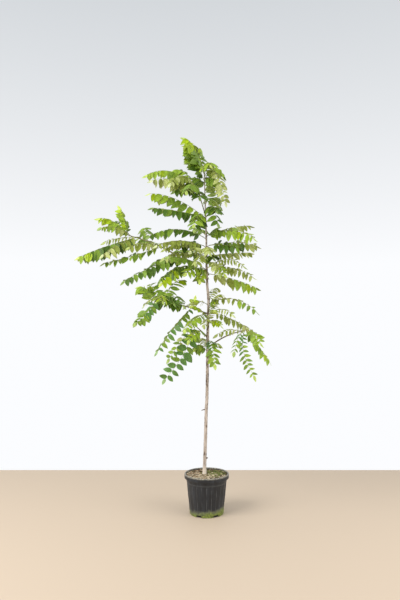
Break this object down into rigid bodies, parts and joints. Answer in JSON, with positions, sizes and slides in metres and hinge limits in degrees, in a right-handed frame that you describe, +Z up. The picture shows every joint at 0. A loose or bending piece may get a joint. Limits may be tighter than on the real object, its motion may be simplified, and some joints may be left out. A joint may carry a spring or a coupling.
{
  "type": "potted black walnut tree",
  "caption": "Young walnut tree with a slim leaning trunk, slender boughs and long feathery leaves, standing in a round ribbed nursery pot filled with soil.",
  "frame": {"origin": "middle of the pot's flat underside", "axes": "+Z up along the trunk, +X to the right in the picture, +Y away from the camera"},
  "size_m": [1.6565, 0.9386, 3.19],
  "materials": {
    "pot_plastic": "matt dark grey moulded plastic with a satin rim",
    "soil_mulch": "damp bark mulch with tan chips and patches of moss",
    "bark": "thin pale grey-brown bark, greener towards the tip",
    "leaf_green": "soft satin leaves, yellow-green when young and deeper green when grown"
  },
  "bodies": {
    "root": {"bough_long_left": "bark", "bough_lower_left": "bark", "bough_lower_right": "bark", "bough_small_left": "bark", "bough_upper_left": "bark", "foliage_back_1": "leaf_green", "foliage_back_2": "leaf_green", "foliage_back_3": "leaf_green", "foliage_back_4": "leaf_green", "foliage_back_5": "leaf_green", "foliage_back_6": "leaf_green", "foliage_back_7": "leaf_green", "foliage_front_1": "leaf_green", "foliage_front_2": "leaf_green", "foliage_front_3": "leaf_green", "foliage_front_4": "leaf_green", "foliage_front_5": "leaf_green", "foliage_front_6": "leaf_green", "foliage_front_7": "leaf_green", "foliage_leader": "leaf_green", "foliage_left_1": "leaf_green", "foliage_left_2": "leaf_green", "foliage_left_3": "leaf_green", "foliage_left_4": "leaf_green", "foliage_left_5": "leaf_green", "foliage_long_back": "leaf_green", "foliage_long_end": "leaf_green", "foliage_long_low": "leaf_green", "foliage_long_middle": "leaf_green", "foliage_long_near": "leaf_green", "foliage_long_tip": "leaf_green", "foliage_lower_left_middle": "leaf_green", "foliage_lower_left_tip": "leaf_green", "foliage_lower_right_tip": "leaf_green", "foliage_right_1": "leaf_green", "foliage_right_2": "leaf_green", "foliage_right_3": "leaf_green", "foliage_right_4": "leaf_green", "foliage_right_5": "leaf_green", "foliage_right_6": "leaf_green", "foliage_right_7": "leaf_green", "foliage_small_left_tip": "leaf_green", "foliage_upper_left_tip": "leaf_green", "pot": "pot_plastic", "soil": "soil_mulch", "trunk": "bark"}
  },
  "joints": []
}
